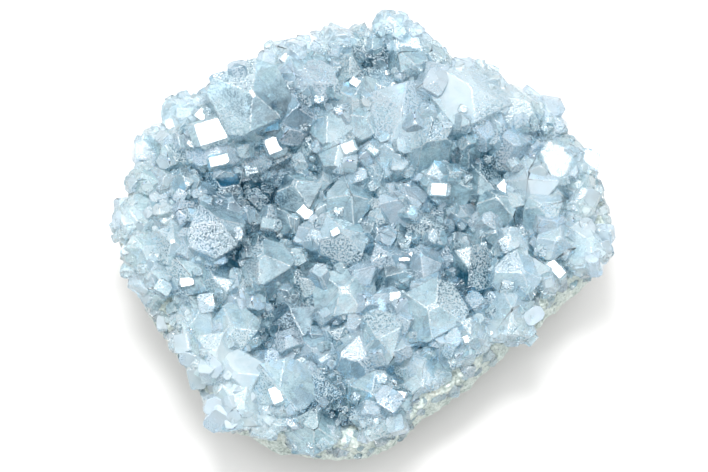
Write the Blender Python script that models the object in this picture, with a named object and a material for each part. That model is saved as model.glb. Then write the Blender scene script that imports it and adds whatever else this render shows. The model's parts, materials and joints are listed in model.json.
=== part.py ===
"""Celestite geode: a shallow section of a crystal-lined geode, resting on its rounded back.

The rind is the rough outer wall of the geode, a rounded bowl with a broken rim and a small
flat spot underneath. The crystal crust is the lining of blocky sky-blue crystals, grown
together into one layer that fills the bowl and stands above its rim.

Metres, +Z up. The origin lies in the plane of the flat spot, under the middle of the outline
seen from above. +X runs along the geode's width, and -Y is the side that faces a person who
looks at it.
"""

import math
import random
from dataclasses import dataclass

import bmesh
import bpy
from mathutils import Matrix, Vector, noise

MM = 0.001

# The rind's widest outline seen from above: its radius in mm every 10 degrees from +X.
RIM_RADII = (
    (75, 74, 71, 68, 65, 61, 60, 60, 62, 63, 62, 60)
    + (59, 60, 63, 67, 69, 71, 73, 71, 68, 67, 68, 70)
    + (71, 70, 69, 67, 63, 58, 56, 55, 55, 57, 62, 70)
)
RIM_STEP = 360 / len(RIM_RADII)

# Heights of the rind in mm, above the point that is cut off flat for it to rest on.
WIDEST_HEIGHT = 24
CREST_HEIGHT = 37
CREST_RISE_TO_BACK = 4
HOLLOW_FLOOR = 17
FLAT_SPOT_CUT = 1.1

# Shares of the rind's radius: the outer edge of its crest, the width of the slope into the
# hollow, and where the hollow starts, which is further in where the broken rim is broad.
CREST_SHARE = 0.97
SLOPE_SHARE = 0.42
LIP_SHARE = 0.94
BROAD_RIM_SHARE = 0.02
BROADER_ON_LEFT = 1.4

# Rough rock: the size of the lumps in mm and how far they stand out, on the wall and on the
# crest, then how much finer and weaker each layer of them is. The flat spot stays smooth.
WALL_LUMPS = (15, 3.2)
CREST_LUMPS = (10, 2.2)
LUMP_LAYERS = ((1.0, 1.1), (2.3, 0.5))
LUMP_LIFT = 0.4
SMOOTH_BELOW = 0.36

# The crust in mm: its mean surface without swells and crystals, how deep it is sunk into the
# slope of the hollow, how far its body lies below that surface, its gap to the rind, and how
# far past the rim its crystals may stand out, with their feet cut off level with the crest.
CRUST_MIDDLE = 33
CRUST_ABOVE_CREST = 2.5
CRUST_ROOT = 4
CRUST_BODY_DROP = 3
CRUST_GAP = 0.4
CRUST_OVERHANG = 7
CRUST_LAP_SHARE = 0.03
CRUST_EDGE_SHARE = 0.42

# A crystal's faces: half the angle between its upright faces, how much they cut off its
# edges, how steep the faces of its end are, and how far those lie from its middle.
PRISM_ANGLE = math.radians(52)
EDGE_CUT = (0.72, 0.88)
STEEP_SLOPES = (36, 56)
GENTLE_SLOPES = (16, 40)
OFF_MIDDLE = (-0.02, 0.12)
USUAL_WIDTH = 13
ROOT_SHARE = 0.5

# The crystals between the large ones, and those on the rim, which are lower. Widths in mm,
# breadth and rise as shares of the width, leans in degrees.
FILL_SEED = 11
FILL_TRIES = 3200
FILL_WIDTH = (10, 16)
FILL_BREADTH = (0.7, 0.95)
FILL_RISE = (0.5, 0.8)
FILL_LEAN = (4, 34)
FILL_SPACING = 0.60
FILL_PAST_LIP = 0.01
RIM_BAND = 0.1
RIM_LEAN = (4, 20)
RIM_LEAN_SPREAD = 40
RIM_RISE = 0.7

RIND_STEPS = (54, 20)
CRUST_STEPS = (32, 12)
SLIVER = 0.004


@dataclass(frozen=True)
class Swell:
    """A smooth rise of the crust, or a cleft in it where the height is negative. In mm."""

    x: float
    y: float
    radius: float
    height: float


@dataclass(frozen=True)
class Crystal:
    """One blocky crystal with a roof-shaped end. Lengths in mm, angles in degrees.

    Its axis leaves the crust at x, y, and leans by lean toward an angle counted from +X. Its
    width and breadth are measured before its edges are cut off, rise is how far its tip stands
    above the crust, and turn is its turn about its own axis.
    """

    x: float
    y: float
    width: float
    breadth: float
    rise: float
    lean: float
    toward: float
    turn: float


SWELLS = (
    Swell(-5, 10, 24, 6),
    Swell(14, 30, 17, 5),
    Swell(33, 36, 16, 5),
    Swell(-34, 38, 13, 5),
    Swell(20, -28, 15, 4),
    Swell(-45, -6, 12, 4),
    Swell(-27, 19, 10, -12),
    Swell(-32, -1, 9, -7),
    Swell(31, -20, 8, -10),
    Swell(-22, -32, 9, -7),
    Swell(-9, -48, 8, -6),
    Swell(5, 50, 7, -10),
    Swell(27, 2, 8, -5),
)

# The large crystals that give the geode its face, from the back left to the front right.
LARGE_CRYSTALS = (
    Crystal(-34, 37, 23, 20, 13, 14, 300, 28),
    Crystal(-21, 51, 17, 14, 7, 14, 110, 10),
    Crystal(-14, 44, 15, 13, 9, 18, 250, 60),
    Crystal(1, 56, 14, 12, 9, 34, 255, 40),
    Crystal(14, 55, 14, 12, 9, 28, 60, 75),
    Crystal(9, 60, 11, 9, 10, 20, 95, 5),
    Crystal(6, 43, 12, 10, 8, 24, 200, 45),
    Crystal(15, 49, 13, 12, 9, 28, 150, 20),
    Crystal(13, 32, 21, 18, 8, 10, 230, 15),
    Crystal(24, 43, 15, 12, 8, 22, 60, 80),
    Crystal(33, 37, 24, 19, 9, 12, 40, 35),
    Crystal(47, 34, 15, 13, 8, 26, 35, 62),
    Crystal(60, 19, 16, 13, 8, 26, 15, 25),
    Crystal(52, 12, 16, 14, 9, 16, 200, 48),
    Crystal(-45, -5, 18, 15, 11, 16, 20, 70),
    Crystal(-36, -10, 12, 10, 7, 26, 350, 25),
    Crystal(-51, -16, 15, 12, 7, 22, 300, 15),
    Crystal(-31, 4, 12, 10, 8, 18, 290, 55),
    Crystal(-44, 23, 18, 12, 8, 3, 270, 4),
    Crystal(-25, 25, 10, 9, 9, 4, 270, 30),
    Crystal(-17, 10, 14, 12, 9, 16, 170, 65),
    Crystal(-6, 20, 14, 12, 9, 12, 80, 20),
    Crystal(-4, 7, 14, 13, 10, 10, 300, 50),
    Crystal(8, 5, 13, 11, 9, 20, 10, 85),
    Crystal(-5, -21, 19, 14, 9, 10, 260, 8),
    Crystal(20, -28, 20, 16, 9, 12, 290, 30),
    Crystal(7, -10, 14, 10, 8, 14, 340, 72),
    Crystal(-8, 29, 15, 13, 9, 16, 120, 40),
    Crystal(-23, -50, 19, 16, 10, 20, 250, 12),
    Crystal(-36, -47, 15, 13, 8, 24, 235, 60),
    Crystal(3, -52, 14, 12, 8, 22, 270, 30),
    Crystal(45, -16, 15, 13, 9, 18, 320, 50),
    Crystal(28, 5, 12, 10, 7, 14, 200, 15),
    Crystal(42, 7, 14, 12, 8, 8, 180, 70),
    Crystal(40, 29, 13, 11, 8, 20, 320, 22),
    Crystal(-37, -33, 15, 13, 9, 18, 220, 48),
    Crystal(-49, -33, 13, 12, 7, 26, 215, 5),
    Crystal(-13, -38, 14, 12, 8, 16, 240, 80),
    Crystal(31, -35, 13, 11, 8, 24, 300, 18),
    Crystal(19, -1, 13, 11, 8, 12, 40, 58),
    Crystal(19, -14, 12, 10, 8, 18, 110, 33),
    Crystal(-60, 3, 13, 12, 6, 22, 175, 66),
    Crystal(-57, 23, 13, 12, 6, 24, 160, 12),
    Crystal(-64, 14, 12, 10, 5, 20, 166, 35),
    Crystal(-62, 26, 11, 10, 5, 22, 156, 70),
    Crystal(-54, 35, 12, 10, 6, 20, 146, 55),
    Crystal(-68, 2, 13, 11, 6, 24, 180, 15),
)


def smooth(share):
    """Runs from 0 to 1 with flat ends as share does, and stays there beyond them."""
    share = min(1.0, max(0.0, share))
    return share * share * (3 - 2 * share)


def rim_radius(angle):
    """The rind's outline in mm at an angle in radians: a smooth curve through RIM_RADII."""
    place = math.degrees(angle) % 360 / RIM_STEP
    step = int(place)
    t = place - step
    before, start, end, after = (
        RIM_RADII[(step + k) % len(RIM_RADII)] for k in (-1, 0, 1, 2)
    )
    return start + 0.5 * t * (
        end - before
        + t * (2 * before - 5 * start + 4 * end - after + t * (3 * (start - end) + after - before))
    )


def share_of_rim(x, y):
    """How far out a point in mm lies, as a share of the rind's radius there."""
    return math.hypot(x, y) / rim_radius(math.atan2(y, x))


def lip_share(angle):
    """Where the hollow starts. The broken rim is broad at the sides, and broader on the left."""
    sideways = math.cos(angle)
    broader = BROADER_ON_LEFT if sideways < 0 else 1
    return LIP_SHARE - BROAD_RIM_SHARE * broader * sideways**2


def crest_height(angle):
    """The height of the broken rim, which stands higher at the back."""
    return CREST_HEIGHT + CREST_RISE_TO_BACK * math.sin(angle)


def bed_height(x, y):
    """The top of the rind in mm: its crest, and the bowl inside it that the crust fills."""
    angle = math.atan2(y, x)
    inward = (lip_share(angle) - share_of_rim(x, y)) / SLOPE_SHARE
    crest = crest_height(angle)
    return crest - (crest - HOLLOW_FLOOR) * smooth(inward)


def crust_height(x, y):
    """The crust's mean surface in mm, with its swells and clefts."""
    angle = math.atan2(y, x)
    edge = crest_height(angle) + CRUST_ABOVE_CREST
    height = CRUST_MIDDLE + (edge - CRUST_MIDDLE) * smooth(share_of_rim(x, y) / lip_share(angle))
    for swell in SWELLS:
        distance = math.hypot(x - swell.x, y - swell.y) / swell.radius
        height += swell.height * math.exp(-distance * distance)
    return height


def lump(point, size, height):
    """Rough rock: how far the surface stands out at a point, in mm."""
    return height * sum(
        weight * noise.noise(point * finer / size) for finer, weight in LUMP_LAYERS
    )


def rind_point(direction, grown=0, overhang=0):
    """Where a point of a unit sphere lies on the rind, in mm.

    The surface is moved up by grown all over, and the outer wall is moved out by overhang.
    """
    angle = math.atan2(direction.y, direction.x)
    outward, up = Vector((math.cos(angle), math.sin(angle), 0)), Vector((0, 0, 1))
    share = math.hypot(direction.x, direction.y)
    point = outward * rim_radius(angle) * share
    if direction.z < 0:
        point.z = WIDEST_HEIGHT * (1 + direction.z)
        rough = lump(point, *WALL_LUMPS) * smooth(share / SMOOTH_BELOW - 1)
        return point + (outward + LUMP_LIFT * up) * rough + overhang * share * outward
    wall = math.sin(min(1.0, direction.z / math.sqrt(1 - CREST_SHARE**2)) * math.pi / 2)
    point.z = WIDEST_HEIGHT + (bed_height(point.x, point.y) - WIDEST_HEIGHT) * wall
    fade = SLOPE_SHARE / 3
    on_rim = smooth((share - lip_share(angle) + fade) / fade)
    push = (1 - wall) * lump(point, *WALL_LUMPS) * on_rim
    if share > CREST_SHARE:
        push += overhang
    lift = wall * lump(point, *CREST_LUMPS) * on_rim + grown
    return point + push * outward + lift * up


def crust_point(direction):
    """Where a point of a unit sphere lies on the crust's body, in mm, without its crystals."""
    angle = math.atan2(direction.y, direction.x)
    share = math.hypot(direction.x, direction.y)
    radius = rim_radius(angle) * (lip_share(angle) + CRUST_LAP_SHARE) * share
    x, y = radius * math.cos(angle), radius * math.sin(angle)
    top, bottom = crust_height(x, y) - CRUST_BODY_DROP, bed_height(x, y) - CRUST_ROOT
    return Vector((x, y, bottom + (top - bottom) * smooth(direction.z / CRUST_EDGE_SHARE)))


def add_object(name, mesh, collection):
    """An object for the mesh, in the collection."""
    made = bpy.data.objects.new(name, mesh)
    collection.objects.link(made)
    return made


def shaped_ball(name, steps, place, collection):
    """A ball with each of its points moved to where place says, in mm."""
    mesh = bpy.data.meshes.new(name)
    shape = bmesh.new()
    bmesh.ops.create_uvsphere(shape, u_segments=steps[0], v_segments=steps[1], radius=1)
    bmesh.ops.triangulate(shape, faces=shape.faces, quad_method="FIXED")
    for vertex in shape.verts:
        vertex.co = place(vertex.co.normalized()) * MM
    bmesh.ops.recalc_face_normals(shape, faces=shape.faces)
    shape.to_mesh(mesh)
    shape.free()
    return add_object(name, mesh, collection)


def cut_flat(shape, point, normal):
    """Cuts off what lies beyond a plane, and closes the cut with one flat face."""
    geometry = shape.verts[:] + shape.edges[:] + shape.faces[:]
    cut = bmesh.ops.bisect_plane(
        shape, geom=geometry, plane_co=point, plane_no=normal, clear_outer=True, dist=1e-7
    )
    edges = [e for e in cut["geom_cut"] if isinstance(e, bmesh.types.BMEdge)]
    if edges:
        bmesh.ops.contextual_create(shape, geom=edges)


def crystal_planes(crystal, rng):
    """The flat faces of a crystal, as (outward normal, distance from its root point) in mm.

    Four faces cut the upright edges off a block, and the end is a roof: two pairs of sloping
    faces, seldom alike, so that it comes to a ridge or to a point. Wide crystals end flatter.
    """
    planes = []
    flatter = min(1.0, USUAL_WIDTH / crystal.width)
    for side, end in ((-1, -1), (-1, 1), (1, -1), (1, 1)):
        normal = Vector((side * math.cos(PRISM_ANGLE), end * math.sin(PRISM_ANGLE), 0))
        corner = abs(normal.x) * crystal.width / 2 + abs(normal.y) * crystal.breadth / 2
        planes.append((normal, corner * rng.uniform(*EDGE_CUT)))
    for axis, slopes, reach in (
        (Vector((1, 0, 0)), STEEP_SLOPES, crystal.width),
        (Vector((0, 1, 0)), GENTLE_SLOPES, crystal.breadth),
    ):
        for side in (-1, 1):
            slope = math.radians(rng.uniform(*slopes)) * flatter
            normal = axis * side * math.sin(slope) + Vector((0, 0, math.cos(slope)))
            shift = reach * rng.uniform(*OFF_MIDDLE) * math.sin(slope)
            planes.append((normal, crystal.rise * math.cos(slope) + shift))
    return planes


def crystal_placement(crystal):
    """The matrix that stands a crystal on the crust, in metres."""
    ground = crust_height(crystal.x, crystal.y)
    toward = math.radians(crystal.toward)
    hinge = Vector((-math.sin(toward), math.cos(toward), 0))
    return (
        Matrix.Translation(Vector((crystal.x, crystal.y, ground)) * MM)
        @ Matrix.Rotation(math.radians(crystal.lean), 4, hinge)
        @ Matrix.Rotation(math.radians(crystal.turn), 4, "Z")
    )


def add_crystal(number, crystal, collection):
    """A closed block for one crystal, cut to its flat faces and stood on the crust."""
    rng = random.Random(number)
    root = ROOT_SHARE * crystal.width * (RIM_RISE if by_the_rim(crystal.x, crystal.y) else 1)
    mesh = bpy.data.meshes.new(f"crystal_{number}")
    shape = bmesh.new()
    bmesh.ops.create_cube(shape, size=1)
    size = Matrix.Diagonal((crystal.width, crystal.breadth, crystal.rise + root, 1))
    middle = Matrix.Translation((0, 0, (crystal.rise - root) / 2))
    bmesh.ops.transform(shape, matrix=Matrix.Scale(MM, 4) @ middle @ size, verts=shape.verts)
    for normal, distance in crystal_planes(crystal, rng):
        cut_flat(shape, normal * distance * MM, normal)
    bmesh.ops.recalc_face_normals(shape, faces=shape.faces)
    shape.to_mesh(mesh)
    shape.free()
    add_object(mesh.name, mesh, collection).matrix_world = crystal_placement(crystal)


def by_the_rim(x, y):
    """Whether a point in mm lies by the broken rim."""
    return share_of_rim(x, y) > lip_share(math.atan2(y, x)) - RIM_BAND


def fill_crystal(rng, x, y):
    """A smaller crystal at a point in mm. On the rim it leans outwards, so its root stays inside."""
    width = rng.uniform(*FILL_WIDTH)
    rise, lean, toward = width * rng.uniform(*FILL_RISE), rng.uniform(*FILL_LEAN), rng.uniform(0, 360)
    if by_the_rim(x, y):
        lean = rng.uniform(*RIM_LEAN)
        toward = math.degrees(math.atan2(y, x)) + rng.uniform(-RIM_LEAN_SPREAD, RIM_LEAN_SPREAD)
        rise *= RIM_RISE
    breadth, turn = width * rng.uniform(*FILL_BREADTH), rng.uniform(0, 90)
    return Crystal(x, y, width, breadth, rise, lean, toward, turn)


def fill_crystals():
    """Smaller crystals between the large ones, as close together as their sizes let them be."""
    rng = random.Random(FILL_SEED)
    reach = max(RIM_RADII)
    placed = list(LARGE_CRYSTALS)
    for _ in range(FILL_TRIES):
        x, y = rng.uniform(-reach, reach), rng.uniform(-reach, reach)
        crystal = fill_crystal(rng, x, y)
        if share_of_rim(x, y) > lip_share(math.atan2(y, x)) + FILL_PAST_LIP:
            continue
        if all(
            math.hypot(x - near.x, y - near.y) > FILL_SPACING * (crystal.width + near.width) / 2
            for near in placed
        ):
            placed.append(crystal)
    return placed[len(LARGE_CRYSTALS) :]


def as_helper(collection):
    """Keeps a collection's objects out of the renders: they only shape other objects."""
    for helper in collection.objects:
        helper.hide_render = True
        helper.display_type = "WIRE"


def combine(target, operation, **other):
    """Adds a Boolean modifier to the target."""
    modifier = target.modifiers.new(operation.title(), "BOOLEAN")
    modifier.operation = operation
    modifier.solver = "EXACT"
    for name, value in other.items():
        setattr(modifier, name, value)


def settle(target):
    """Replaces an object's mesh by its modifiers' result, without stray shells or slivers."""
    graph = bpy.context.evaluated_depsgraph_get()
    mesh = bpy.data.meshes.new_from_object(target.evaluated_get(graph))
    target.modifiers.clear()
    shape = bmesh.new()
    shape.from_mesh(mesh)
    bmesh.ops.dissolve_degenerate(shape, edges=shape.edges, dist=SLIVER * MM)
    keep_largest_shell(shape)
    bmesh.ops.triangulate(shape, faces=shape.faces)
    shape.to_mesh(mesh)
    shape.free()
    target.data = mesh


def keep_largest_shell(shape):
    """Deletes sealed pockets and crumbs, so that one closed surface is left."""
    left = set(shape.faces)
    shells = []
    while left:
        shell, edge_on = set(), [left.pop()]
        while edge_on:
            face = edge_on.pop()
            shell.add(face)
            near = {other for edge in face.edges for other in edge.link_faces}
            edge_on.extend(near & left)
            left -= near
        shells.append(shell)
    shells.sort(key=lambda shell: sum(face.calc_area() for face in shell))
    for shell in shells[:-1]:
        bmesh.ops.delete(shape, geom=list(shell), context="FACES")


def celestite_material(name, colour, roughness):
    """A Principled material in a plain colour."""
    material = bpy.data.materials.new(name)
    material.use_nodes = True
    surface = material.node_tree.nodes["Principled BSDF"]
    surface.inputs["Base Color"].default_value = (*colour, 1)
    surface.inputs["Roughness"].default_value = roughness
    surface.inputs["Metallic"].default_value = 0
    return material


def build_rind(geode, cutters):
    """The outer wall: a rough bowl with a flat spot to rest on, and a copy that cuts the crust."""
    rind = shaped_ball("rind", RIND_STEPS, rind_point, geode)
    shape = bmesh.new()
    shape.from_mesh(rind.data)
    cut_flat(shape, Vector((0, 0, FLAT_SPOT_CUT * MM)), Vector((0, 0, -1)))
    bmesh.ops.translate(shape, verts=shape.verts, vec=(0, 0, -FLAT_SPOT_CUT * MM))
    bmesh.ops.recalc_face_normals(shape, faces=shape.faces)
    shape.to_mesh(rind.data)
    shape.free()
    rind.data.materials.append(celestite_material("massive_celestite", (0.66, 0.72, 0.74), 0.8))
    shaped_ball(
        "rind_cutter", RIND_STEPS, lambda d: rind_point(d, CRUST_GAP, CRUST_OVERHANG), cutters
    )


def build_crust(geode, cutters, crystals):
    """The lining of crystals: one layer, cut to fit the bowl of the rind with a fine gap."""
    crust = shaped_ball("crystal_crust", CRUST_STEPS, crust_point, geode)
    for number, crystal in enumerate((*LARGE_CRYSTALS, *fill_crystals())):
        add_crystal(number, crystal, crystals)
    combine(crust, "UNION", operand_type="COLLECTION", collection=crystals)
    combine(crust, "DIFFERENCE", object=cutters.objects["rind_cutter"])
    settle(crust)
    crust.data.transform(Matrix.Translation((0, 0, -FLAT_SPOT_CUT * MM)))
    crust.data.materials.clear()
    crust.data.materials.append(celestite_material("celestite_crystal", (0.48, 0.66, 0.80), 0.15))


def centre(geode):
    """Slides the geode until the middle of its outline, seen from above, is over the origin."""
    points = [vertex.co for piece in geode.objects for vertex in piece.data.vertices]
    middle = [(min(p[k] for p in points) + max(p[k] for p in points)) / 2 for k in (0, 1)]
    for piece in geode.objects:
        piece.data.transform(Matrix.Translation((-middle[0], -middle[1], 0)))


def main():
    """Clears the scene and builds the geode."""
    for leftover in list(bpy.data.objects):
        bpy.data.objects.remove(leftover)
    collections = []
    for name in ("celestite_geode", "cutters", "crystals"):
        collections.append(bpy.data.collections.new(name))
        bpy.context.scene.collection.children.link(collections[-1])
    geode, cutters, crystals = collections
    build_rind(geode, cutters)
    build_crust(geode, cutters, crystals)
    centre(geode)
    as_helper(cutters)
    as_helper(crystals)


main()
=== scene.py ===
"""Looks of a shallow celestite geode: clear and milky sky-blue crystals on a rough pale rind.

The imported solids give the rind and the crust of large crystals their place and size. Here the
rind gets its rough rock surface, the crust gets glassy celestite, and Geometry Nodes grow the
smaller crystals that fill the crevices and the broken rim.
"""

import json
import logging
import math
import random
from dataclasses import dataclass
from enum import Enum

import bmesh
import bpy
import numpy as np
from mathutils import Matrix, Vector, noise
from mathutils.bvhtree import BVHTree
from mathutils.kdtree import KDTree

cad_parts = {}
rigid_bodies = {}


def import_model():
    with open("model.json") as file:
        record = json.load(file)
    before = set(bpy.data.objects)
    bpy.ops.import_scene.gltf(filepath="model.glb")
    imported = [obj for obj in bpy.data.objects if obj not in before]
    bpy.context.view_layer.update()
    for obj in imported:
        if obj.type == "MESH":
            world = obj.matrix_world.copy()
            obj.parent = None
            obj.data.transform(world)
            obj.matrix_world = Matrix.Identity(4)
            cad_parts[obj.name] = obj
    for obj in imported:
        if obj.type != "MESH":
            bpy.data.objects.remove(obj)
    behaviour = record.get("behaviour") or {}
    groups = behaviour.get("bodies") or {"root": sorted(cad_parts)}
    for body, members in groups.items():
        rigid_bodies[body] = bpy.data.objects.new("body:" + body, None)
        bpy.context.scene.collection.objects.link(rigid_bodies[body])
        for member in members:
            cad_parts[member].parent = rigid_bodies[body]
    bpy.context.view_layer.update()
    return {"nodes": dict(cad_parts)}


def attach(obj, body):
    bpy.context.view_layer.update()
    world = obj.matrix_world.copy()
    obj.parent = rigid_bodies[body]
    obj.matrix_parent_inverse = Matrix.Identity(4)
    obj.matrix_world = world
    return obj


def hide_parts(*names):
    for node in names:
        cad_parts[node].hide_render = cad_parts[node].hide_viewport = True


log = logging.getLogger("celestite_geode")

MM = 0.001
SOLIDS = ("crystal_crust", "rind")
WELD = 2e-6
SOFT_BORDER = 0.1

# Names of the numbers that a mesh holds for its material and for Geometry Nodes.
WHERE = "where"
TONE = "tone"
FACET = "facet"
MILK = "milk"
OUTSIDE = "outside"
# Painted shade: a number per vertex that darkens crevices to deep blue and makes tips paler.
CREVICE_SHADE = "rise"
NUMBER = "number"
OWN = "own"

# Facet values run from -1 to 1. A worn edge has a higher one, which paints it pale: a painted
# highlight along the edge.
# An etched face has one that dulls it. Larger faces that look nearly where a mirror would are
# etched.
EDGE_HIGHLIGHT_TONE = 2.2
ETCHED = 0.45
ETCHED_DEG = 7.5
ETCHED_FROM_MM2 = 4.0


@dataclass(frozen=True)
class Zone:
    """A round stretch of the face that is milkier or clearer than the rest.

    Attributes:
        x: middle, in millimetres.
        y: middle, in millimetres.
        radius: reach, in millimetres.
        amount: above zero for milky, below for clear and deep.
    """

    x: float
    y: float
    radius: float
    amount: float


ZONES = (
    Zone(-28, 15, 6, -1.0),
    Zone(-38, 10, 8, -0.7),
    Zone(-46, 9, 6, -0.4),
    Zone(-35, -8, 8, -0.8),
    Zone(-19, 34, 7, -0.8),
    Zone(-35, 42, 8, -0.2),
    Zone(-22, -26, 8, -0.8),
    Zone(-28, -33, 5, -0.4),
    Zone(-5, -41, 5, -0.6),
    Zone(-10, -53, 8, -0.6),
    Zone(4, 55, 6, -0.8),
    Zone(36, 21, 6, -0.7),
    Zone(49, 31, 5, -0.3),
    Zone(30, -17, 7, -1.0),
    Zone(25, 3, 4, -0.4),
    Zone(4, -15, 7, -0.25),
    Zone(20, -6, 10, -0.3),
    Zone(14, -57, 9, -0.35),
    Zone(-19, -67, 8, -0.3),
    Zone(31, -48, 6, -0.3),
    Zone(61, -22, 5, -0.4),
    Zone(-64, 0, 12, 0.6),
    Zone(-39, -20, 6, 0.5),
    Zone(-39, -39, 9, 0.9),
    Zone(-37, -51, 8, 0.8),
    Zone(-28, -59, 6, 0.5),
    Zone(-4, 21, 8, 0.4),
    Zone(-11, 6, 6, 0.35),
    Zone(9, 11, 6, 0.3),
    Zone(-1, -29, 7, 0.4),
    Zone(-17, -40, 6, 0.35),
    Zone(11, -39, 8, 0.4),
    Zone(36, -33, 8, 0.4),
    Zone(-25, 57, 8, 0.5),
    Zone(-10, 63, 6, 0.4),
    Zone(12, 38, 9, 0.5),
    Zone(32, 40, 9, 1.0),
    Zone(54, 14, 8, 0.9),
    Zone(68, 4, 7, 0.8),
    Zone(49, 42, 7, 0.6),
    Zone(54, -10, 8, 0.4),
    Zone(1, -64, 6, 0.4),
    Zone(-57, -32, 7, 0.3),
    Zone(-52, 33, 8, 0.4),
)
STAINS = (
    Zone(-56, 36, 8, 0.9),
    Zone(-50, 44, 6, 0.7),
    Zone(38, 48, 6, 0.8),
    Zone(26, -57, 6, 0.8),
    Zone(34, -50, 5, 0.5),
    Zone(-30, -62, 6, 0.3),
)


def zone_sum(places: np.ndarray, zones: tuple[Zone, ...]) -> np.ndarray:
    """Adds up the zones at each place.

    Args:
        places: one place in metres per row.
        zones: the zones.

    Returns:
        One number per place.
    """
    total = np.zeros(len(places))
    for zone in zones:
        dx, dy = places[:, 0] / MM - zone.x, places[:, 1] / MM - zone.y
        total += zone.amount * np.exp(-(dx * dx + dy * dy) / zone.radius**2)
    return total


def vertex_places(mesh: bpy.types.Mesh) -> np.ndarray:
    """Reads a mesh's vertex places.

    Args:
        mesh: has the vertices.

    Returns:
        One place in metres per row.
    """
    places = np.empty(len(mesh.vertices) * 3)
    mesh.vertices.foreach_get("co", places)
    return places.reshape(-1, 3)


def store(mesh: bpy.types.Mesh, name: str, values: np.ndarray) -> None:
    """Stores one number per vertex in a named attribute."""
    layer = mesh.attributes.get(name) or mesh.attributes.new(name, "FLOAT", "POINT")
    layer.data.foreach_set("value", np.asarray(values, dtype=np.float32))


class Habit(Enum):
    """How a crystal ends."""

    ROOF = "roof"
    BLOCK = "block"
    POINT = "point"
    TABLE = "table"


# How a crystal is cut: slopes in degrees across and along it, and cuts as shares of its width.
SLOPES = {
    Habit.ROOF: ((36, 56), (14, 36)),
    Habit.BLOCK: ((12, 24), (4, 16)),
    Habit.POINT: ((48, 62), (44, 60)),
    Habit.TABLE: ((30, 60), (30, 60)),
}
PRISM_DEG = 52
CORNER_CUTS = (0.72, 0.9)
ROOF_SHIFTS = (-0.02, 0.14)
TABLE_SHARE = 0.86
TABLE_EDGES = (0.6, 0.95)
RIDGE = 0.15


def linear(hex_colour: str) -> tuple[float, float, float, float]:
    """Turns an sRGB hex colour into linear light.

    Args:
        hex_colour: six hex digits.

    Returns:
        Red, green, blue and an alpha of 1.
    """
    channels = []
    for start in (0, 2, 4):
        value = int(hex_colour[start : start + 2], 16) / 255
        channels.append(value / 12.92 if value <= 0.04045 else ((value + 0.055) / 1.055) ** 2.4)
    return (*channels, 1.0)


def add_node(
    tree: bpy.types.NodeTree, kind: str, settings: dict | None = None, **inputs: object
) -> bpy.types.Node:
    """Adds a node with its settings, input values and incoming links.

    Args:
        tree: the tree that takes the node.
        kind: the node's type name.
        settings: its own properties, or a ramp's stops as (position, hex colour) pairs.
        inputs: a value or a linked socket for each input, with underscores for spaces.

    Returns:
        The new node.
    """
    node = tree.nodes.new(kind)
    for name, value in (settings or {}).items():
        if name != "stops":
            setattr(node, name, value)
            continue
        elements = node.color_ramp.elements
        while len(elements) < len(value):
            elements.new(0.5)
        for element, (position, colour) in zip(elements, value):
            element.position = position
            element.color = linear(colour)
    for name, value in inputs.items():
        key = int(name[1:]) if name[0] == "i" and name[1:].isdigit() else name.replace("_", " ")
        if isinstance(value, bpy.types.NodeSocket):
            tree.links.new(value, node.inputs[key])
        else:
            node.inputs[key].default_value = value
    return node


# Settings of the two Math nodes that the materials need most.
ADD_SHARE = {"operation": "MULTIPLY_ADD"}
TIMES = {"operation": "MULTIPLY"}


def blank_material(name: str) -> tuple[bpy.types.Material, bpy.types.NodeTree]:
    """Makes a material with an empty node tree.

    Args:
        name: the material's name.

    Returns:
        The material and its tree.
    """
    material = bpy.data.materials.new(name)
    material.use_nodes = True
    material.node_tree.nodes.clear()
    return material, material.node_tree


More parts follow.
